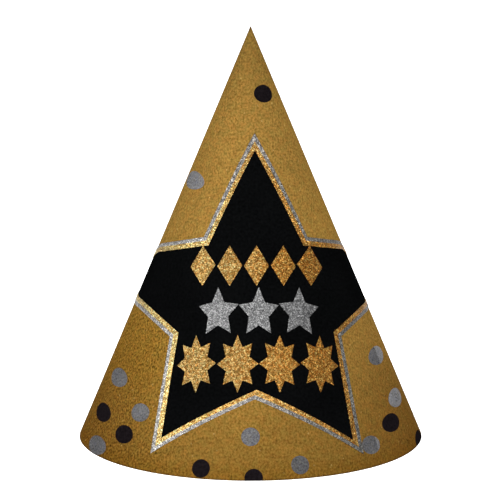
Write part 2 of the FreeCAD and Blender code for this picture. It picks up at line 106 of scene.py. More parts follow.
# ------------------------------------------------------------------ the rolled sheet
def sheet_mesh(off_out, off_in, z_low, tip_out, tip_in):
    """A sheet rolled once round and lapped at the back, with round strap holes.

    Returns vertices, faces, flat places and a tag for each face: 0 outer, 1 inner, 2 cut edge.
    """
    phis = np.arange(-184.5, 184.51, 0.5)
    phis = np.unique(np.concatenate([[INNER_END], phis, [OUTER_END]]))
    low_out = (HEIGHT + off_out * SIN - z_low) / COS
    low_in = (HEIGHT + off_in * SIN - z_low) / COS
    slants = np.concatenate([np.geomspace(0.35, 12, 14), np.arange(18, 174, 6.0), np.arange(174, 187.1, 1.0),
                             np.array([188.6, 190.2, 191.0])])
    slants = slants[slants < low_in - 0.4]
    n, m = len(phis), len(slants) + 1
    verts, uv = [], []
    rise = RISE * smooth((phis - JOGGLE[0]) / (JOGGLE[1] - JOGGLE[0]))
    index = {}
    for side, off, low, tip in ((0, off_out, low_out, tip_out), (1, off_in, low_in, tip_in)):
        for j in range(m):
            s = low if j == m - 1 else slants[j]
            fade = float(smooth(s / 9.0))
            r = max(s * SIN + off * COS, tip * s)
            z = HEIGHT - s * COS + off * SIN if s * SIN + off * COS > tip * s else None
            for i, p in enumerate(phis):
                up = rise[i] * fade
                a = math.radians(p)
                rr = r + up * COS
                zz = (HEIGHT - s * COS + off * SIN) if z is not None else (HEIGHT - s * COS - 0.2)
                if j < m - 1:
                    zz = zz + up * SIN
                index[side, j, i] = len(verts)
                verts.append((rr * math.sin(a) * MM, -rr * math.cos(a) * MM, zz * MM))
                uv.append(tuple(flat(p, s)))
    faces, tags = [], []
    # blocks of cells taken out for the holes
    blocks = []
    for hp, hs, hr in HOLES:
        i0 = int(np.searchsorted(phis, hp - 3.0 - 1e-6)); i1 = int(np.searchsorted(phis, hp + 3.0 - 1e-6))
        j0 = int(np.searchsorted(slants, hs - 4.0 - 1e-6)); j1 = int(np.searchsorted(slants, hs + 4.0 - 1e-6))
        blocks.append((i0, i1, j0, j1, hp, hs, hr))

    def in_block(i, j):
        return any(b[0] <= i < b[1] and b[2] <= j < b[3] for b in blocks)

    for side in (0, 1):
        for j in range(m - 1):
            for i in range(n - 1):
                if in_block(i, j):
                    continue
                q = (index[side, j, i], index[side, j + 1, i], index[side, j + 1, i + 1], index[side, j, i + 1])
                faces.append(q if side == 0 else q[::-1])
                tags.append(side)
    for i0, i1, j0, j1, hp, hs, hr in blocks:
        border = ([(i, j0) for i in range(i0, i1)] + [(i1, j) for j in range(j0, j1)]
                  + [(i, j1) for i in range(i1, i0, -1)] + [(i0, j) for j in range(j1, j0, -1)])
        rings = {}
        for side, off in ((0, off_out), (1, off_in)):
            row = [index[side, j, i] for i, j in border]
            here = [row]
            for t in (0.35, 0.7, 0.9, 1.0):
                ring = []
                for (i, j) in border:
                    dx = math.radians(phis[i] - hp) * hs * SIN
                    dy = slants[j] - hs
                    d = math.hypot(dx, dy)
                    x = dx * (1 - t) + dx / d * hr * t
                    y = dy * (1 - t) + dy / d * hr * t
                    s = hs + y
                    p = hp + math.degrees(x / (hs * SIN))
                    # the punch leaves a faint burr outwards
                    lift = 0.03 if (t == 1.0 and side == 0) else 0.0
                    ring.append(len(verts))
                    verts.append(tuple(on_cone(p, s, off + lift)))
                    uv.append(tuple(flat(p, s)))
                here.append(ring)
            rings[side] = here
            for a, b in zip(here, here[1:]):
                for k in range(len(border)):
                    l = (k + 1) % len(border)
                    q = (a[k], b[k], b[l], a[l])
                    faces.append(q if side == 0 else q[::-1])
                    tags.append(side)
        a, b = rings[0][-1], rings[1][-1]
        for k in range(len(border)):
            l = (k + 1) % len(border)
            faces.append((a[k], b[k], b[l], a[l]))
            tags.append(2)
    for i in range(n - 1):  # rim and top
        faces.append((index[0, m - 1, i], index[1, m - 1, i], index[1, m - 1, i + 1], index[0, m - 1, i + 1]))
        tags.append(2)
        faces.append((index[0, 0, i + 1], index[1, 0, i + 1], index[1, 0, i], index[0, 0, i]))
        tags.append(2)
    for j in range(m - 1):  # the sheet's two straight edges
        faces.append((index[0, j, 0], index[1, j, 0], index[1, j + 1, 0], index[0, j + 1, 0]))
        faces.append((index[0, j + 1, n - 1], index[1, j + 1, n - 1], index[1, j, n - 1], index[0, j, n - 1]))
        tags += [2, 2]
    return np.array(verts), faces, np.array(uv), tags


# ------------------------------------------------------------------ films on the sheet
def inset(outline, distances):
    """The outline with every side moved inwards by one distance at its start, another at its end."""
    outline = np.asarray(outline, float)
    n = len(outline)
    nxt = np.roll(outline, -1, 0)
    area = np.sum(outline[:, 0] * nxt[:, 1] - nxt[:, 0] * outline[:, 1])
    side = 1.0 if area > 0 else -1.0
    t = (nxt - outline) / np.linalg.norm(nxt - outline, axis=1)[:, None]
    inwards = np.stack([-t[:, 1], t[:, 0]], 1) * side
    distances = np.asarray(distances, float)
    base = outline + inwards * distances[:, :1]
    t = nxt + inwards * distances[:, 1:] - base
    t /= np.linalg.norm(t, axis=1)[:, None]
    out = []
    for i in range(n):
        k = np.linalg.solve(np.array([t[i - 1], -t[i]]).T, base[i] - base[i - 1])
        out.append(base[i - 1] + t[i - 1] * k[0])
    return np.array(out)


def divided(outline, step):
    pts = []
    n = len(outline)
    for i in range(n):
        a, b = np.asarray(outline[i]), np.asarray(outline[(i + 1) % n])
        k = max(1, int(round(np.linalg.norm(b - a) / step)))
        for q in range(k):
            pts.append(a + (b - a) * q / k)
    return np.array(pts)


def inside(points, outline):
    x, y = points[:, 0], points[:, 1]
    hit = np.zeros(len(points), bool)
    o = np.asarray(outline)
    for (x0, y0), (x1, y1) in zip(o, np.roll(o, -1, 0)):
        cross = (y0 > y) != (y1 > y)
        if y0 != y1:
            hit ^= cross & (x < (x1 - x0) * (y - y0) / (y1 - y0) + x0)
    return hit


def clearance(points, outline):
    o = np.asarray(outline)
    best = np.full(len(points), 1e9)
    for a, b in zip(o, np.roll(o, -1, 0)):
        d = b - a
        t = np.clip(((points - a) @ d) / (d @ d), 0, 1)
        best = np.minimum(best, np.linalg.norm(points - (a + t[:, None] * d), axis=1))
    return best


def tiled(outline, window, step, jitter):
    """Triangles inside the outline and outside the window, on a jittered lattice."""
    rings = [divided(outline, step)] + ([divided(window, step)] if window is not None else [])
    lo, hi = rings[0].min(0), rings[0].max(0)
    rows = np.arange(lo[1], hi[1], step * 0.866)
    grid = []
    for k, y in enumerate(rows):
        xs = np.arange(lo[0] + (k % 2) * step / 2, hi[0], step)
        grid.append(np.stack([xs, np.full(len(xs), y)], 1))
    grid = np.concatenate(grid)
    grid = grid + rng.uniform(-jitter, jitter, grid.shape) * step
    ok = inside(grid, rings[0])
    if window is not None:
        ok &= ~inside(grid, rings[1])
    grid = grid[ok]
    near = clearance(grid, outline)
    if window is not None:
        near = np.minimum(near, clearance(grid, window))
    grid = grid[near > 0.5 * step]
    pts, edges = [], []
    for ring in rings:
        base = len(pts)
        pts += list(ring)
        edges += [(base + i, base + (i + 1) % len(ring)) for i in range(len(ring))]
    border = len(pts)
    pts = np.array(pts + list(grid))
    co, ed, fa, _, _, _ = delaunay_2d_cdt([Vector(p) for p in pts], edges, [], 0, 1e-7)
    co = np.array([tuple(c) for c in co])
    fa = [f for f in fa if len(f) == 3]
    tri = np.array(fa)
    centre = co[tri].mean(1)
    keep = inside(centre, rings[0])
    if window is not None:
        keep &= ~inside(centre, rings[1])
    tri = tri[keep]
    a, b, c = co[tri[:, 0]], co[tri[:, 1]], co[tri[:, 2]]
    turn = (b[:, 0] - a[:, 0]) * (c[:, 1] - a[:, 1]) - (b[:, 1] - a[:, 1]) * (c[:, 0] - a[:, 0])
    tri = tri[np.abs(turn) > 1e-9]
    turn = turn[np.abs(turn) > 1e-9]
    tri[turn < 0] = tri[turn < 0][:, ::-1]
    used = np.unique(tri)
    remap = -np.ones(len(co), int)
    remap[used] = np.arange(len(used))
    return co[used], remap[tri]


def open_edges(tri):
    """Directed border edges of a triangle patch."""
    seen = {}
    for t in tri:
        for k in range(3):
            e = (int(t[k]), int(t[(k + 1) % 3]))
            seen[e] = True
    return [e for e in seen if (e[1], e[0]) not in seen]


def film_mesh(outline, window, step, low, high, jitter=0.12, rough=0.0, edge=0.0):
    """A closed film: a tiled top, a matching underside and side walls.

    rough is the random height of the tiles' corners, edge how much the border sinks.
    """
    co, tri = tiled(outline, window, step, jitter)
    phi, slant = unrolled(co)
    rim = np.zeros(len(co), bool)
    walls = open_edges(tri)
    for a, b in walls:
        rim[a] = rim[b] = True
    lift = np.full(len(co), high)
    if rough:
        lift = lift + rng.uniform(-rough, rough, len(co))
        lift[rim] = high - edge + rng.uniform(-rough, rough, rim.sum()) * 0.5
    else:
        lift[rim] = high - edge
    top = on_cone(phi, slant, lift)
    bottom = on_cone(phi, slant, low)
    n = len(co)
    verts = np.concatenate([top, bottom])
    # x to the right and y up the sheet seen from outside: anticlockwise faces point outwards
    faces = [tuple(t) for t in tri] + [(t[2] + n, t[1] + n, t[0] + n) for t in tri]
    faces += [(b, a, a + n, b + n) for a, b in walls]
    tags = [0] * len(tri) + [1] * len(tri) + [2] * len(walls)
    return verts, faces, np.concatenate([co, co]), tags


def joined(parts):
    verts, faces, uvs, tags, base = [], [], [], [], 0
    for v, f, u, t in parts:
        verts.append(v)
        faces += [tuple(int(i) + base for i in q) for q in f]
        uvs.append(u)
        tags += list(t)
        base += len(v)
    return np.concatenate(verts), faces, np.concatenate(uvs), tags


# ------------------------------------------------------------------ materials
def nodes_of(name):
    mat = bpy.data.materials.new(name)
    mat.use_nodes = True
    tree = mat.node_tree
    tree.nodes.clear()
    out = tree.nodes.new("ShaderNodeOutputMaterial")
    bsdf = tree.nodes.new("ShaderNodeBsdfPrincipled")
    tree.links.new(bsdf.outputs[0], out.inputs[0])
    return mat, tree, bsdf


def node(tree, kind, **values):
    n = tree.nodes.new(kind)
    for key, value in values.items():
        setattr(n, key, value)
    return n


def sheet_coords(tree, sx, sy):
    """Places on the unrolled sheet, scaled: 1 unit is 100 mm before scaling."""
    uv = node(tree, "ShaderNodeUVMap", uv_map="flat")
    m = node(tree, "ShaderNodeMapping")
    m.inputs["Scale"].default_value = (sx, sy, 1.0)
    tree.links.new(uv.outputs[0], m.inputs["Vector"])
    return m.outputs[0]


def noise(tree, vector, scale, detail=2.0, rough=0.5, lacunarity=2.0):
    n = node(tree, "ShaderNodeTexNoise")
    n.inputs["Scale"].default_value = scale
    n.inputs["Detail"].default_value = detail
    n.inputs["Roughness"].default_value = rough
    n.inputs["Lacunarity"].default_value = lacunarity
    tree.links.new(vector, n.inputs["Vector"])
    return n.outputs["Fac"]


def ramp(tree, value, lo, hi, out_lo=0.0, out_hi=1.0):
    n = node(tree, "ShaderNodeMapRange")
    for key, v in (("From Min", lo), ("From Max", hi), ("To Min", out_lo), ("To Max", out_hi)):
        n.inputs[key].default_value = v
    tree.links.new(value, n.inputs["Value"])
    return n.outputs[0]


def maths(tree, op, a, b):
    n = node(tree, "ShaderNodeMath", operation=op)
    for i, v in enumerate((a, b)):
        if isinstance(v, (int, float)):
            n.inputs[i].default_value = v
        else:
            tree.links.new(v, n.inputs[i])
    return n.outputs[0]


def mixed(tree, factor, a, b, blend="MIX"):
    n = node(tree, "ShaderNodeMix", data_type="RGBA", blend_type=blend)
    for key, v in ((0, factor), (6, a), (7, b)):
        if isinstance(v, (int, float)):
            n.inputs[key].default_value = v
        elif isinstance(v, tuple):
            n.inputs[key].default_value = (*v, 1.0) if len(v) == 3 else v
        else:
            tree.links.new(v, n.inputs[key])
    return n.outputs[2]


def scaled(tree, colour, value):
    """colour times a grey value."""
    n = node(tree, "ShaderNodeVectorMath", operation="SCALE")
    if isinstance(colour, tuple):
        n.inputs[0].default_value = colour
    else:
        tree.links.new(colour, n.inputs[0])
    tree.links.new(value, n.inputs["Scale"])
    return n.outputs[0]


def bumped(tree, bsdf, height, strength, distance):
    b = node(tree, "ShaderNodeBump")
    b.inputs["Strength"].default_value = strength
    b.inputs["Distance"].default_value = distance
    tree.links.new(height, b.inputs["Height"])
    tree.links.new(b.outputs[0], bsdf.inputs["Normal"])


def place_on_sheet(tree, signed=False):
    """The slant in mm and the angle round the cone in degrees, 0 at the front, without its sign
    unless asked for."""
    uv = node(tree, "ShaderNodeUVMap", uv_map="flat").outputs[0]
    far = node(tree, "ShaderNodeVectorMath", operation="LENGTH")
    tree.links.new(uv, far.inputs[0])
    xyz = node(tree, "ShaderNodeSeparateXYZ")
    tree.links.new(uv, xyz.inputs[0])
    sideways = xyz.outputs[0] if signed else maths(tree, "ABSOLUTE", xyz.outputs[0], 0.0)
    turn = maths(tree, "ARCTAN2", sideways, maths(tree, "MULTIPLY", xyz.outputs[1], -1.0))
    return maths(tree, "MULTIPLY", far.outputs["Value"], 100.0), maths(tree, "MULTIPLY", turn, 57.29578 / SIN)


def eased(tree, value, lo, hi, out_lo=0.0, out_hi=1.0):
    n = node(tree, "ShaderNodeMapRange", interpolation_type="SMOOTHSTEP")
    for key, v in (("From Min", lo), ("From Max", hi), ("To Min", out_lo), ("To Max", out_hi)):
        n.inputs[key].default_value = v
    tree.links.new(value, n.inputs["Value"])
    return n.outputs[0]


def times(tree, *values):
    out = values[0]
    for v in values[1:]:
        out = maths(tree, "MULTIPLY", out, v)
    return out


def plus(tree, *values):
    out = values[0]
    for v in values[1:]:
        out = maths(tree, "ADD", out, v)
    return out


def gold_paper():
    """Gold printed on paper: fine grain, faint upright streaks, patches of a redder and a greener
    gold, and painted shade that deepens towards the rim, the tip, the flanks and the lower left."""
    mat, tree, bsdf = nodes_of("gold_paper")
    c = sheet_coords(tree, 1, 1)
    slant, turn = place_on_sheet(tree)
    leftwards = maths(tree, "MULTIPLY", place_on_sheet(tree, True)[1], -1.0)
    left = times(tree, eased(tree, leftwards, 10.0, 55.0), eased(tree, leftwards, 85.0, 160.0, 1.0, 0.0),
                 eased(tree, slant, 90.0, 138.0))
    grain = noise(tree, sheet_coords(tree, 1.0, 0.85), 118.0, 2.0, 0.6)
    streak = noise(tree, sheet_coords(tree, 120, 30), 1.0, 2.0, 0.6)
    mottle = noise(tree, c, 26.0, 3.0, 0.6)
    cloud = noise(tree, c, 3.2, 2.0, 0.5)
    # the grain is coarser to the left, towards the rim
    fine = times(tree, ramp(tree, grain, 0.3, 0.7, -GRAIN_GOLD, GRAIN_GOLD), ramp(tree, left, 0.0, 1.0, 1.0, 1.9))
    value = plus(tree, 1.0, fine, ramp(tree, streak, 0.3, 0.7, -0.15, 0.15),
                 ramp(tree, mottle, 0.3, 0.7, -0.09, 0.09), ramp(tree, cloud, 0.3, 0.7, -0.06, 0.06))
    # painted shade: these masks darken the gold towards the rim, the tip, the flanks and the lower left
    rim = eased(tree, slant, 130.0, 192.0)
    tip = eased(tree, slant, 8.0, 46.0, 1.0, 0.0)
    flank = times(tree, eased(tree, turn, 25.0, 75.0), eased(tree, slant, 110.0, 190.0))
    lower_left_shade = times(tree, left, eased(tree, slant, 148.0, 180.0, 1.0, 0.25))
    # painted shade multiplied into the gold; the last millimetre at the rim and the first few at the tip are darker
    # still
    shade = times(tree, maths(tree, "SUBTRACT", 1.0, times(tree, rim, PAINTED_SHADE[0])),
                  maths(tree, "SUBTRACT", 1.0, times(tree, tip, PAINTED_SHADE[1])),
                  maths(tree, "SUBTRACT", 1.0, times(tree, flank, PAINTED_SHADE[2])),
                  maths(tree, "SUBTRACT", 1.0, times(tree, lower_left_shade, PAINTED_SHADE[3])),
                  eased(tree, slant, 190.7, 191.9, 1.0, 0.62), eased(tree, slant, 0.5, 3.5, 0.45, 1.0))
    hue = noise(tree, c, 34.0, 3.0, 0.6)
    tint = mixed(tree, ramp(tree, hue, 0.36, 0.64), GOLD_A, GOLD_B)
    # painted shade: where the gold is shaded it is also tinted warmer and redder, at the rim, on the lower left, along
    # the rim's edge and on the flanks
    tint = mixed(tree, rim, tint, mixed(tree, 1.0, tint, (1.0, 0.95, 0.82), "MULTIPLY"))
    lower_left_shade_tint = times(tree, left, eased(tree, slant, 148.0, 176.0, 1.0, 0.45))
    tint = mixed(tree, lower_left_shade_tint, tint, mixed(tree, 1.0, tint, (1.0, 0.95, 0.68), "MULTIPLY"))
    tint = mixed(tree, eased(tree, slant, 183.0, 191.0), tint, mixed(tree, 1.0, tint, (0.93, 0.87, 0.72), "MULTIPLY"))
    tint = mixed(tree, flank, tint, mixed(tree, 1.0, tint, (1.0, 0.92, 0.92), "MULTIPLY"))
    speck = node(tree, "ShaderNodeTexVoronoi", feature="F1")
    speck.inputs["Scale"].default_value = 165.0
    tree.links.new(c, speck.inputs["Vector"])
    lucky = node(tree, "ShaderNodeSeparateColor")
    tree.links.new(speck.outputs["Color"], lucky.inputs[0])
    tint = mixed(tree, maths(tree, "GREATER_THAN", lucky.outputs[0], 0.997), tint, (0.24, 0.155, 0.045))
    tree.links.new(scaled(tree, tint, times(tree, value, shade)), bsdf.inputs["Base Color"])
    bsdf.inputs["Metallic"].default_value = 0.14
    tree.links.new(ramp(tree, grain, 0.3, 0.7, 0.50, 0.62), bsdf.inputs["Roughness"])
    bsdf.inputs["Specular IOR Level"].default_value = 0.0
    bsdf.inputs["Specular Tint"].default_value = (0.15, 0.08, 0.02, 1)
    bumped(tree, bsdf, plus(tree, grain, streak), 0.35, 0.00008)
    return mat


def black_ink(name, colour):
    mat, tree, bsdf = nodes_of(name)
    c = sheet_coords(tree, 1, 1)
    grain = noise(tree, c, 95.0, 3.0, 0.6)
    cloud = noise(tree, c, 5.0, 2.0, 0.5)
    value = plus(tree, ramp(tree, grain, 0.3, 0.7, 0.5, 1.55), ramp(tree, cloud, 0.3, 0.7, -0.15, 0.15))
    tree.links.new(scaled(tree, colour, value), bsdf.inputs["Base Color"])
    tree.links.new(ramp(tree, grain, 0.3, 0.7, 0.46, 0.60), bsdf.inputs["Roughness"])
    bsdf.inputs["Specular IOR Level"].default_value = 0.0
    bumped(tree, bsdf, grain, 0.2, 0.00004)
    return mat


def stops(tree, value, lo, hi, pairs):
    """Colours at places between lo and hi, straight in between."""
    n = node(tree, "ShaderNodeValToRGB")
    n.color_ramp.interpolation = "LINEAR"
    for k, (place, tone) in enumerate(pairs):
        place = (place - lo) / (hi - lo)
        if k == 0:
            e = n.color_ramp.elements[0]
            e.position = place
        elif k == len(pairs) - 1:
            e = n.color_ramp.elements[len(n.color_ramp.elements) - 1]
            e.position = place
        else:
            e = n.color_ramp.elements.new(place)
        e.color = (*tone, 1)
    tree.links.new(ramp(tree, value, lo, hi), n.inputs[0])
    return n.outputs[0]


def glitter(name, dark, mid, bright, size, rough, run=None, tall=None, hues=None):
    """Loose flakes: each one its own tone and gloss, on facets that are real geometry.

    run is painted light and shade round the hat, multiplied into the flakes' colour: (angle in degrees, colour) pairs;
    tall is painted light and shade, darker or brighter down the left and the right, as (slant, amount) pairs;
    hues are the two tints the flakes vary between.
    """
    mat, tree, bsdf = nodes_of(name)
    c = sheet_coords(tree, 1, 1)
    v = node(tree, "ShaderNodeTexVoronoi", feature="F1")
    v.inputs["Scale"].default_value = 100.0 / size
    v.inputs["Randomness"].default_value = 1.0
    tree.links.new(c, v.inputs["Vector"])
    split = node(tree, "ShaderNodeSeparateColor")
    tree.links.new(v.outputs["Color"], split.inputs[0])
    cr = node(tree, "ShaderNodeValToRGB")
    cr.color_ramp.elements[0].position = 0.0
    cr.color_ramp.elements[0].color = (*dark, 1)
    cr.color_ramp.elements[1].position = 1.0
    cr.color_ramp.elements[1].color = (*bright, 1)
    e = cr.color_ramp.elements.new(0.5)
    e.color = (*mid, 1)
    tree.links.new(split.outputs[0], cr.inputs[0])
    colour = cr.outputs[0]
    slant, turn = place_on_sheet(tree, True)
    if hues:
        patch = ramp(tree, noise(tree, c, 80.0, 2.0, 0.6), 0.38, 0.62, 0.0, 0.5)
        lot = maths(tree, "ADD", patch, maths(tree, "MULTIPLY", split.outputs[2], 0.5))
        colour = mixed(tree, 1.0, colour, mixed(tree, lot, *hues), "MULTIPLY")
    # painted light: run and tall make the flakes brighter or darker by where they sit round and down the hat
    if run:
        colour = mixed(tree, 1.0, colour, stops(tree, turn, -90.0, 90.0, run), "MULTIPLY")
    if tall:
        sides = [stops(tree, slant, 40.0, 190.0, [(a, (b, b, b)) for a, b in side]) for side in tall]
        colour = mixed(tree, 1.0, colour, mixed(tree, eased(tree, turn, -5.0, 12.0), *sides), "MULTIPLY")
    tree.links.new(colour, bsdf.inputs["Base Color"])
    bsdf.inputs["Metallic"].default_value = 0.85
    bsdf.inputs["Specular IOR Level"].default_value = 0.2
    tree.links.new(ramp(tree, split.outputs[1], 0, 1, rough[0], rough[1]), bsdf.inputs["Roughness"])
    bumped(tree, bsdf, v.outputs["Distance"], 0.5, 0.00012)
    return mat


def silver_film():
    """Silver foil: each dot has its own tone, with grain, clouds and a little glitter in it, painted shade towards the
    rim and, on some dots, a painted reflection.
    """
    mat, tree, bsdf = nodes_of("silver_film")
    c = sheet_coords(tree, 1, 1)
    grain = noise(tree, c, 120.0, 3.0, 0.65)
    cloud = noise(tree, c, 16.0, 2.0, 0.5)
    value = plus(tree, 1.0, ramp(tree, grain, 0.3, 0.7, -0.55, 0.55), ramp(tree, cloud, 0.3, 0.7, -0.15, 0.15))
    hue = noise(tree, c, 55.0, 2.0, 0.5)
    tint = mixed(tree, ramp(tree, hue, 0.35, 0.65), SILVER_A, SILVER_B)
    slant, turn = place_on_sheet(tree)
    # painted shade: the silver is darkened towards the rim, as the gold is
    shade = maths(tree, "SUBTRACT", 1.0, times(tree, eased(tree, slant, 130.0, 192.0), PAINTED_SHADE[0]))
    # the tone attribute carries each dot's own tone and, on some dots, a painted reflection
    tone = node(tree, "ShaderNodeAttribute", attribute_name="tone")
    tree.links.new(scaled(tree, tint, times(tree, value, shade, tone.outputs["Fac"])), bsdf.inputs["Base Color"])
    bsdf.inputs["Metallic"].default_value = 0.3
    bsdf.inputs["Roughness"].default_value = 0.5
    bsdf.inputs["Specular IOR Level"].default_value = 0.0
    bsdf.inputs["Specular Tint"].default_value = (0.2, 0.2, 0.2, 1)
    bumped(tree, bsdf, grain, 0.4, 0.00006)
    return mat


def white_board():
    mat, tree, bsdf = nodes_of("white_board")
    c = sheet_coords(tree, 1, 1)
    fibre = noise(tree, sheet_coords(tree, 60, 22), 1.0, 4.0, 0.65)
    fleck = noise(tree, c, 45.0, 4.0, 0.7)
    value = maths(tree, "ADD", ramp(tree, fibre, 0.3, 0.7, 0.93, 1.04), ramp(tree, fleck, 0.3, 0.7, -0.03, 0.03))
    tree.links.new(scaled(tree, (0.80, 0.785, 0.75), value), bsdf.inputs["Base Color"])
    bsdf.inputs["Roughness"].default_value = 0.85
    bsdf.inputs["Specular IOR Level"].default_value = 0.25
    bumped(tree, bsdf, fibre, 0.4, 0.00008)
    return mat


def cut_edge():
    mat, tree, bsdf = nodes_of("board_cut_edge")
    c = sheet_coords(tree, 1, 1)
    ply = noise(tree, c, 180.0, 4.0, 0.7)
    tree.links.new(scaled(tree, (0.10, 0.066, 0.036), ramp(tree, ply, 0.3, 0.7, 0.75, 1.2)), bsdf.inputs["Base Color"])
    bsdf.inputs["Roughness"].default_value = 0.9
    bumped(tree, bsdf, ply, 0.6, 0.00006)
    return mat


def glue_look():
    mat, tree, bsdf = nodes_of("dried_glue")
    c = sheet_coords(tree, 1, 1)
    lump = noise(tree, c, 30.0, 3.0, 0.6)
    tree.links.new(scaled(tree, (0.62, 0.52, 0.33), ramp(tree, lump, 0.3, 0.7, 0.8, 1.15)), bsdf.inputs["Base Color"])
    bsdf.inputs["Roughness"].default_value = 0.3
    bumped(tree, bsdf, lump, 0.5, 0.0001)
    return mat


GOLD_A, GOLD_B = (0.163, 0.101, 0.0215), (0.183, 0.096, 0.0202)
GRAIN_GOLD = 0.42
# strengths of the painted shade: rim, tip, flanks, lower left
PAINTED_SHADE = (0.33, 0.26, 0.18, 0.17)
BLACK, DOT_BLACK = (0.0014, 0.0015, 0.0016), (0.0050, 0.0038, 0.0044)
SILVER_A, SILVER_B = (0.078, 0.079, 0.087), (0.089, 0.086, 0.083)

m_gold = gold_paper()
m_black = black_ink("black_film", BLACK)
m_dot_black = black_ink("black_dots", DOT_BLACK)
# painted light: the glitter is painted pale champagne and bright on the left, duller, deeper and darker on the right
GOLD_PAINTED_LIGHT_RUN = [(-60, (1.17, 1.15, 0.88)), (-36, (0.92, 0.92, 0.76)), (-18, (0.87, 0.75, 0.50)),
            (0, (0.77, 0.61, 0.38)), (20, (0.75, 0.55, 0.30)), (42, (0.65, 0.44, 0.20)), (62, (0.78, 0.51, 0.16))]
SILVER_PAINTED_LIGHT_RUN = [(-60, (1.45, 1.43, 1.42)), (-36, (1.08, 1.07, 1.04)), (-10, (0.90, 0.87, 0.83)),
              (16, (0.74, 0.71, 0.67)), (42, (0.66, 0.66, 0.62)), (62, (0.70, 0.67, 0.63))]
# painted light and shade down the left and the right of the borders, by slant
GOLD_PAINTED_LIGHT_TALL = ([(50, 0.84), (88, 0.86), (100, 0.96), (138, 0.92), (160, 1.06), (176, 1.12)],
             [(50, 1.02), (75, 1.05), (90, 1.18), (108, 1.00), (178, 0.96)])
SILVER_PAINTED_LIGHT_TALL = ([(50, 0.83), (88, 0.80), (100, 0.96), (138, 0.90), (158, 1.04), (168, 1.10), (178, 1.02)],
               [(50, 1.04), (75, 1.02), (90, 1.10), (108, 0.98), (150, 0.96), (176, 0.94)])
FLAKE_HUES = ((1.13, 0.80, 0.50), (0.88, 1.24, 1.60))
# dark, middle and bright flakes: the borders' glitter is laid on thicker than the ornaments'
m_gold_line = glitter("gold_glitter_line", (0.15, 0.080, 0.018), (0.29, 0.200, 0.078), (0.68, 0.55, 0.29), 0.42,
                      (0.26, 0.52), GOLD_PAINTED_LIGHT_RUN,
                      GOLD_PAINTED_LIGHT_TALL, FLAKE_HUES)
m_silver_line = glitter("silver_glitter_line", (0.075, 0.075, 0.078), (0.150, 0.148, 0.145), (0.37, 0.36, 0.345),
                        0.42, (0.26, 0.52), SILVER_PAINTED_LIGHT_RUN, SILVER_PAINTED_LIGHT_TALL)
# painted light: the gold ornaments are painted darker and more orange to the right, the silver ones a little darker to
# the right
m_gold_glitter = glitter("gold_glitter", (0.080, 0.036, 0.007), (0.165, 0.086, 0.018), (0.41, 0.275, 0.105), 0.42,
                         (0.26, 0.52), [(-40, (1.0, 1.02, 0.98)), (-16, (0.97, 1.0, 0.98)), (16, (0.98, 0.81, 0.52)),
                                        (40, (0.92, 0.72, 0.40))], None, FLAKE_HUES)
m_silver_glitter = glitter("silver_glitter", (0.050, 0.050, 0.052), (0.098, 0.098, 0.098), (0.25, 0.25, 0.25), 0.42,
                           (0.26, 0.52), [(-20, (1.0, 1.0, 1.0)), (20, (0.90, 0.90, 0.90))])
m_silver = silver_film()
m_board = white_board()
m_edge = cut_edge()
m_glue = glue_look()

# ------------------------------------------------------------------ board and facing
v, f, u, t = sheet_mesh(-FACING - 0.01, -FACING - BOARD, 0.0, 0.20, 0.10)
make("cone_board_sheet", v, f, u, replaces=["cone_board"], sharp_deg=40,
     mats=[m_board, m_edge], mat_index=[1 if k == 2 else 0 for k in t])
v, f, u, t = sheet_mesh(0.0, -FACING, 0.10, 0.36, 0.28)
make("gold_facing_sheet", v, f, u, replaces=["gold_facing"], sharp_deg=40,
     mats=[m_gold, m_edge], mat_index=[1 if k == 2 else 0 for k in t])

# ------------------------------------------------------------------ the star
STAR = [(1.59, -46.17), (25.64, -88.63), (32.71, -88.09), (39.76, -87.11), (46.49, -85.69), (52.00, -84.15),
        (122.50, -76.50), (68.54, -111.78), (62.34, -114.99), (55.09, -119.34), (47.86, -124.34),
        (41.54, -129.24), (50.54, -178.50), (1.80, -158.10), (-43.72, -178.74), (-36.02, -130.07),
        (-43.49, -124.10), (-51.65, -118.30), (-59.91, -113.25), (-67.31, -109.41), (-120.00, -75.50),
        (-50.45, -85.90), (-44.32, -87.36), (-36.45, -88.59), (-28.05, -89.22), (-20.32, -89.24)]
# each edge of the star: how many straight runs, the silver line's width, and both lines' width at its
# start and end
EDGES = [(1, 1.60, 3.35, 3.95), (5, 1.60, 3.70, 3.70), (5, 1.60, 3.60, 3.60), (1, 1.85, 3.95, 4.35),
         (1, 1.55, 2.80, 3.90), (1, 1.55, 3.25, 3.30), (1, 1.70, 4.00, 4.10), (5, 1.60, 3.70, 3.70),
         (5, 1.60, 3.75, 3.75), (1, 1.65, 3.65, 3.45)]
GOLD_LINE = inset(STAR, [(silver, silver) for runs, silver, start, end in EDGES for _ in range(runs)])
BLACK_LINE = inset(STAR, [(start, end) for runs, silver, start, end in EDGES for _ in range(runs)])
GRAIN = 0.42

v, f, u, t = film_mesh(BLACK_LINE, None, 2.0, 0.0, 0.10)
make("star_film_black", v, f, u, replaces=["star_black_film"], sharp_deg=30, material=m_black)
v, f, u, t = film_mesh(STAR, GOLD_LINE, GRAIN, 0.0, 0.19, 0.25, 0.10, 0.04)
make("star_border_silver_glitter", v, f, u, replaces=["star_silver_border"],
     smooth_all=False, material=m_silver_line)
v, f, u, t = film_mesh(GOLD_LINE, BLACK_LINE, GRAIN, 0.0, 0.21, 0.25, 0.10, 0.04)
make("star_border_gold_glitter", v, f, u, replaces=["star_gold_border"],
     smooth_all=False, material=m_gold_line)


# ------------------------------------------------------------------ ornaments on the star
def spokes(count, ratio):
    raw = []
    for i in range(2 * count):
        reach = 1.0 if i % 2 == 0 else ratio
        raw.append((reach * math.sin(math.pi * i / count), reach * math.cos(math.pi * i / count)))
    raw = np.array(raw)
    lo, hi = raw.min(0), raw.max(0)
    return 2 * (raw - lo) / (hi - lo) - 1


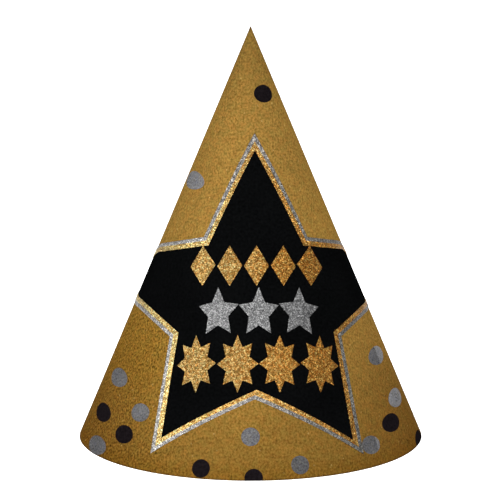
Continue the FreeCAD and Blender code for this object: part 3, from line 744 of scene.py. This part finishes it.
LOZENGE = np.array([(0, 1), (1, 0), (0, -1), (-1, 0)], float)
FIVE, BURST = spokes(5, 0.50), spokes(8, 0.62)
UPPER = [(-20.61, -101.43, 5.85, 8.50), (-8.71, -102.18, 5.25, 8.50), (2.46, -102.32, 5.15, 8.50),
         (13.82, -101.93, 5.45, 8.50), (26.46, -100.81, 6.45, 8.60)]
MIDDLE = [(-13.53, -120.71, 8.55, 9.60), (3.40, -120.99, 8.25, 9.60), (20.79, -120.29, 9.05, 9.70)]
LOWER = [(-23.10, -142.80, 8.75, 12.00), (-5.35, -143.35, 8.55, 12.00), (12.10, -143.20, 8.65, 12.00),
         (30.00, -142.35, 8.95, 12.00)]


def ornament_row(name, rows, shape, material, node_name):
    parts = []
    for x, y, w, h in rows:
        outline = shape * np.array([w, h]) + np.array([x, y])
        parts.append(film_mesh(outline, None, GRAIN, 0.10, 0.26, 0.25, 0.10, 0.05))
    v, f, u, t = joined(parts)
    make(name, v, f, u, replaces=[node_name], smooth_all=False, material=material)


ornament_row("upper_ornaments_gold_glitter", UPPER, LOZENGE, m_gold_glitter, "upper_ornaments_gold")
ornament_row("middle_ornaments_silver_glitter", MIDDLE, FIVE, m_silver_glitter,
             "middle_ornaments_silver")
ornament_row("lower_ornaments_gold_glitter", LOWER, BURST, m_gold_glitter, "lower_ornaments_gold")

# ------------------------------------------------------------------ confetti dots
DOT = 3.82
# the angle, the slant and how much wider than tall
BLACK_DOTS = [(29.1, 29.49, 1.14), (-69.0, 174.52, 2.2), (-50.4, 179.16, 1.50), (-16.49, 187.50, 1.0),
              (1.01, 190.65, 1.0), (60.8, 176.81, 1.94), (80.7, 190.99, 2.2), (-112.0, 178.0, 1.6),
              (-147.0, 166.0, 1.2), (163.0, 176.0, 1.0), (127.0, 187.0, 1.4), (108.0, 160.0, 1.8),
              (-125.0, 88.0, 1.4), (160.0, 118.0, 1.0), (150.0, 66.0, 1.0)]
SILVER_DOTS = [(-65.2, 69.14, 2.2), (-66.8, 158.11, 2.2), (-45.4, 168.56, 1.37), (-64.2, 187.90, 2.15),
               (-0.02, 173.67, 1.0), (16.61, 186.07, 1.0), (45.8, 182.60, 1.38), (71.9, 168.66, 2.2),
               (69.2, 148.77, 2.2), (-103.0, 163.0, 1.8), (-130.0, 184.0, 1.3), (-164.0, 186.0, 1.0),
               (146.0, 168.0, 1.1), (115.0, 175.0, 1.6), (120.0, 90.0, 1.5), (-158.0, 114.0, 1.0),
               (-148.0, 60.0, 1.1)]
# each silver dot's own tone; the dot at 2.05 carries a painted reflection all over, and for some a painted reflection
# makes the dot brighter past a place across it
SILVER_TONES = [(1.46, None), (1.18, None), (1.22, None), (1.28, None), (1.14, None), (1.02, None),
                (1.22, (0.66, 1.9)), (2.05, None), (1.0, (0.05, 1.8)), (1.2, None), (1.2, None), (1.1, None),
                (1.1, (0.3, 1.7)), (1.2, None), (1.2, None), (1.0, None), (1.1, None)]


def dot_mesh(phi, slant, stretch, low, high, step):
    c = flat(phi, slant)
    t = math.radians(phi) * SIN
    across, down = np.array([math.cos(t), math.sin(t)]), np.array([math.sin(t), -math.cos(t)])
    a = np.linspace(0, 2 * math.pi, 96, endpoint=False)
    ring = c + DOT * (stretch * np.outer(np.cos(a), across) + np.outer(np.sin(a), down))
    r = np.hypot(ring[:, 0], ring[:, 1])
    cap = (HEIGHT - 0.12) / COS
    ring = ring * (np.minimum(r, cap) / r)[:, None]
    return film_mesh(ring, None, step, low, high, 0.1, 0.0, 0.03)


def dot_tones(dots, tones, parts):
    """A tone for every corner of every dot."""
    out = []
    for (phi, slant, stretch), (tone, lighter), (v, f, u, t) in zip(dots, tones, parts):
        turn = math.radians(phi) * SIN
        along = (u - flat(phi, slant)) @ np.array([math.cos(turn), math.sin(turn)]) / (DOT * stretch)
        mine = np.full(len(v), tone)
        # painted reflection: past this place the dot's tone is multiplied up, as if a light were mirrored in the foil
        if lighter:
            mine = np.where(along > lighter[0], tone * lighter[1], tone)
        out.append(mine)
    return np.concatenate(out)


for name, dots, tones, mat, slot_name, node_name in (
        ("confetti_dots_black", BLACK_DOTS, [(1.0, None)] * len(BLACK_DOTS), m_dot_black, "black_print",
         "black_confetti_dots"),
        ("confetti_dots_silver", SILVER_DOTS, SILVER_TONES, m_silver, "silver_foil", "silver_confetti_dots")):
    parts = [dot_mesh(p, s, w, 0.0, 0.09, 0.45 if tone[1] else 0.9) for (p, s, w), tone in zip(dots, tones)]
    v, f, u, t = joined(parts)
    obj = make(name, v, f, u, replaces=[node_name], sharp_deg=50, material=mat)
    if len(obj.data.vertices) == len(v):
        tone = obj.data.attributes.new("tone", "FLOAT", "POINT")
        tone.data.foreach_set("value", dot_tones(dots, tones, parts).astype(np.float32))

# ------------------------------------------------------------------ the glue in the lap
zs = np.linspace(2.0, 160.0, 160)
ss = (HEIGHT - zs) / COS
verts, uv, faces = [], [], []
across = np.linspace(0, 1, 9)
for side, off in ((0, 0.098), (1, 0.002)):
    for k, s in enumerate(ss):
        lo = 175.95 + 0.35 * math.sin(k * 0.61) * math.sin(k * 0.17 + 1)
        hi = 184.05 + 0.35 * math.sin(k * 0.47 + 2) * math.sin(k * 0.23)
        for q in across:
            p = lo + (hi - lo) * q
            verts.append(tuple(on_cone(p, s, off)))
            uv.append(tuple(flat(p, s)))
n, m = len(ss), len(across)
for k in range(n - 1):
    for q in range(m - 1):
        a = k * m + q
        faces.append((a, a + 1, a + m + 1, a + m)[::-1])
        b = a + n * m
        faces.append((b, b + 1, b + m + 1, b + m))
for k in range(n - 1):
    for q, flip in ((0, False), (m - 1, True)):
        a, b = k * m + q, (k + 1) * m + q
        quad = (a, b, b + n * m, a + n * m)
        faces.append(quad[::-1] if flip else quad)
for q in range(m - 1):
    for k, flip in ((0, True), (n - 1, False)):
        a, b = k * m + q, k * m + q + 1
        quad = (a, b, b + n * m, a + n * m)
        faces.append(quad[::-1] if flip else quad)
make("seam_glue", verts, faces, uv, replaces=["seam_glue_strip"], sharp_deg=40, material=m_glue)

# ------------------------------------------------------------------ floor
segs = 96
fv = [(0, 0, 0)]
ff = []
radii = [0.2, 0.6, 1.5, 4.0, 9.0]
for r in radii:
    fv += [(r * math.cos(2 * math.pi * k / segs), r * math.sin(2 * math.pi * k / segs), 0) for k in range(segs)]
for k in range(segs):
    ff.append((0, 1 + k, 1 + (k + 1) % segs))
    for q in range(len(radii) - 1):
        a, b = 1 + q * segs, 1 + (q + 1) * segs
        ff.append((a + k, b + k, b + (k + 1) % segs, a + (k + 1) % segs))
mesh = bpy.data.meshes.new("floor")
mesh.from_pydata(fv, [], ff)
floor = bpy.data.objects.new("floor", mesh)
bpy.context.scene.collection.objects.link(floor)
mat, tree, bsdf = nodes_of("floor_white")
bsdf.inputs["Base Color"].default_value = (0.90, 0.90, 0.90, 1)
bsdf.inputs["Roughness"].default_value = 0.9
bsdf.inputs["Specular IOR Level"].default_value = 0.1
bsdf.inputs["Emission Color"].default_value = (1, 1, 1, 1)
bsdf.inputs["Emission Strength"].default_value = 0.72
mesh.materials.append(mat)

# ------------------------------------------------------------------ light
scene = bpy.context.scene
world = bpy.data.worlds.new("studio")
scene.world = world
world.use_nodes = True
bg = world.node_tree.nodes.get("Background") or world.node_tree.nodes.new("ShaderNodeBackground")
bg.inputs[0].default_value = (1.0, 1.0, 1.0, 1)
bg.inputs[1].default_value = 0.35


def softbox(name, azimuth, height, distance, size, watts, aim=0.12):
    """A square soft light; azimuth 0 is in front, + to the right, and it aims at the hat's middle."""
    data = bpy.data.lights.new(name, "AREA")
    data.shape = "SQUARE"
    data.size = size
    data.energy = watts
    obj = bpy.data.objects.new(name, data)
    scene.collection.objects.link(obj)
    az, el = math.radians(azimuth), math.radians(height)
    away = Vector((math.sin(az) * math.cos(el), -math.cos(az) * math.cos(el), math.sin(el)))
    turned = (-away).to_track_quat("-Z", "Y").to_matrix().to_4x4()
    obj.matrix_world = Matrix.Translation(Vector((0, 0, aim)) + away * distance) @ turned
    obj.visible_camera = False
    return obj


softbox("front", 0, 10, 0.40, 0.20, 1.06)
softbox("low_left", -62, 15, 0.60, 0.24, 1.88)
softbox("mid_left", -62, 30, 0.80, 0.32, 1.75)
softbox("high_right", 75, 60, 1.20, 0.60, 12.9)
softbox("high_back", 180, 50, 1.60, 0.96, 12.0)

# ------------------------------------------------------------------ camera
elevation = math.radians(11.887)
distance = 1.470
target = Vector((0, 0, HEIGHT / 2 * MM))
view = Vector((0, -math.cos(elevation), math.sin(elevation)))
cam_data = bpy.data.cameras.new("camera")
cam_data.lens = 3459.69 * 36.0 / 500.0
cam_data.sensor_width = 36.0
cam_data.sensor_fit = "HORIZONTAL"
cam_data.shift_x = -0.57 / 500.0
cam_data.shift_y = -17.68 / 500.0
cam_data.clip_end = 50
cam_data.dof.use_dof = False
cam = bpy.data.objects.new("camera", cam_data)
scene.collection.objects.link(cam)
cam.matrix_world = Matrix.Translation(target + view * distance) @ (-view).to_track_quat("-Z", "Y").to_matrix().to_4x4()
scene.camera = cam
scene.view_settings.view_transform = "Standard"
scene.view_settings.look = "None"
scene.view_settings.exposure = 0.0
scene.view_settings.gamma = 1.0
